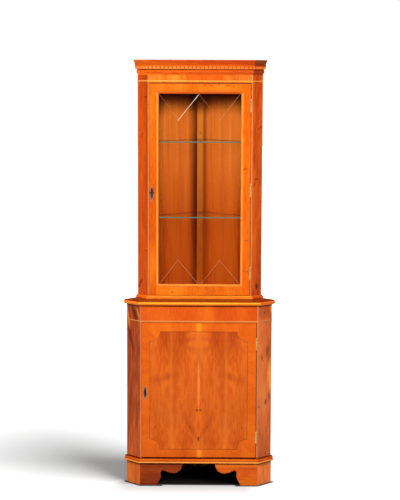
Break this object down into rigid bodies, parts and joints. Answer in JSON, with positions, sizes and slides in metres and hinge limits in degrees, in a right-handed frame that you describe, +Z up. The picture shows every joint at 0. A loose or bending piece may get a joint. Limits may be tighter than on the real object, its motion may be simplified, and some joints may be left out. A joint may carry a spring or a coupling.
{
  "type": "corner cupboard",
  "caption": "Free-standing two-stage corner cupboard: glazed display case with glass shelves over a panelled cupboard base on bracket feet, each with a locking side-hung door.",
  "frame": {"origin": "on the floor, under the middle of the overall width and depth", "axes": "+Z up, -Y towards the front, +X to the right seen from the front; the back corner points along +Y"},
  "size_m": [0.6554, 0.394, 1.84],
  "materials": {
    "yew_face": "polished lacquer over yew veneer",
    "yew_cross": "polished lacquer over crossbanded yew veneer",
    "yew_side": "polished lacquer over yew veneer",
    "yew_moulding": "polished lacquer over solid moulding",
    "yew_inside": "satin lacquer over yew veneer",
    "pale_wood": "satin lacquer",
    "bare_board": "plain board",
    "glass": "clear",
    "brass": "polished",
    "aged_brass": "antiqued",
    "steel": "plated"
  },
  "bodies": {
    "case": {"foot_front_left": "yew_face", "foot_front_right": "yew_face", "foot_side_left": "yew_side", "foot_side_right": "yew_side", "rear_foot": "bare_board", "base_moulding_front": "yew_moulding", "base_moulding_left": "yew_moulding", "base_moulding_right": "yew_moulding", "lower_left_side": "yew_side", "lower_right_side": "yew_side", "lower_left_back": "yew_inside", "lower_right_back": "yew_inside", "lower_corner_post": "pale_wood", "waist_ledge": "yew_moulding", "upper_plinth_board": "yew_moulding", "upper_left_side": "yew_side", "upper_right_side": "yew_side", "upper_left_back": "yew_inside", "upper_right_back": "yew_inside", "upper_corner_post": "pale_wood", "lower_frieze": "yew_face", "upper_frieze": "yew_cross", "lower_floor": "bare_board", "lower_shelf": "bare_board", "upper_top_board": "bare_board", "upper_door_stop": "bare_board", "cornice_front": "yew_moulding", "cornice_left": "yew_moulding", "cornice_right": "yew_moulding", "glass_shelf_lower": "glass", "glass_shelf_upper": "glass", "shelf_peg_lower_left": "brass", "shelf_peg_lower_right": "brass", "shelf_peg_lower_back": "brass", "shelf_peg_upper_left": "brass", "shelf_peg_upper_right": "brass", "shelf_peg_upper_back": "brass", "upper_hinge_low_frame_leaf": "brass", "upper_hinge_middle_frame_leaf": "brass", "upper_hinge_high_frame_leaf": "brass", "lower_hinge_low_frame_leaf": "brass", "lower_hinge_high_frame_leaf": "brass"},
    "upper_door": {"upper_door_left_stile": "yew_face", "upper_door_right_stile": "yew_face", "upper_door_head_rail": "yew_cross", "upper_door_foot_rail": "yew_cross", "upper_door_pane": "glass", "upper_escutcheon": "aged_brass", "upper_lock_case": "steel", "upper_hinge_low_door_leaf": "brass", "upper_hinge_middle_door_leaf": "brass", "upper_hinge_high_door_leaf": "brass"},
    "lower_door": {"lower_door_panel": "yew_face", "lower_escutcheon": "aged_brass", "lower_lock_case": "steel", "lower_hinge_low_door_leaf": "brass", "lower_hinge_high_door_leaf": "brass"},
    "upper_key": {"upper_door_key": "aged_brass"},
    "upper_bolt": {"upper_lock_bolt": "brass"},
    "lower_bolt": {"lower_lock_bolt": "brass"}
  },
  "joints": [
    {"name": "upper_door_hinge", "type": "hinge", "parent": "case", "child": "upper_door", "pos_m": [0.2182, -0.1205, 1.2835], "axis": [0, 0, 1], "range_deg": [0, 140]},
    {"name": "lower_door_hinge", "type": "hinge", "parent": "case", "child": "lower_door", "pos_m": [0.2477, -0.183, 0.41935], "axis": [0, 0, 1], "range_deg": [0, 140]},
    {"name": "upper_key_turn", "type": "hinge", "parent": "upper_door", "child": "upper_key", "pos_m": [-0.2065, -0.1165, 1.275], "axis": [0, -1, 0], "range_deg": [0, 90]},
    {"name": "upper_bolt_slide", "type": "slide", "parent": "upper_door", "child": "upper_bolt", "axis": [-1, 0, 0], "range_m": [0, 0.006]},
    {"name": "lower_bolt_slide", "type": "slide", "parent": "lower_door", "child": "lower_bolt", "axis": [-1, 0, 0], "range_m": [0, 0.006]}
  ],
  "couplings": [
    {"joint": "upper_bolt_slide", "follows": "upper_key_turn", "m_per_rad": 0.0038197}
  ]
}
